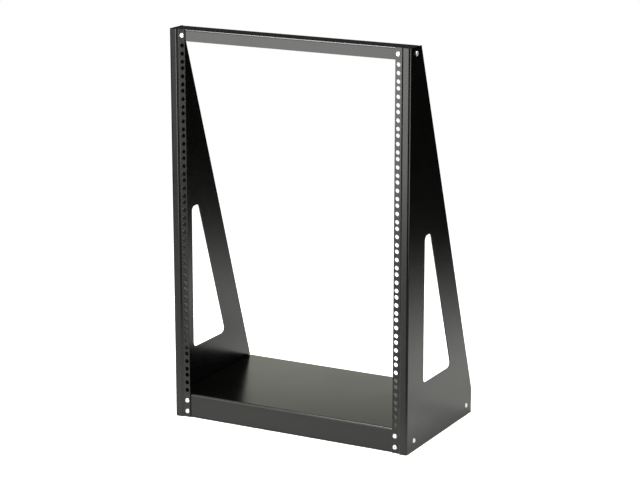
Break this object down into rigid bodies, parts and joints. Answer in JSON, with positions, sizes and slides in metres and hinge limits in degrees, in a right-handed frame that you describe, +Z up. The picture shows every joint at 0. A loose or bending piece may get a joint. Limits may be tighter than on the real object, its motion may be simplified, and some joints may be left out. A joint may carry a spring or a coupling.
{
  "type": "two post open frame rack",
  "caption": "Open frame equipment rack: two bent steel side panels with holed front rails, joined by a top bar and a base shelf.",
  "frame": {"origin": "on the floor, at the middle of the rack's footprint", "axes": "+X to the right seen from the front, front towards -Y, +Z up"},
  "size_m": [0.518, 0.3, 0.7874],
  "materials": {
    "frame_coat": "satin black powder coat",
    "screw_plate": "bright plated steel of the assembly screws"
  },
  "bodies": {
    "root": {"left_side_panel": "frame_coat", "right_side_panel": "frame_coat", "top_bar": "frame_coat", "base_shelf": "frame_coat"}
  },
  "joints": []
}
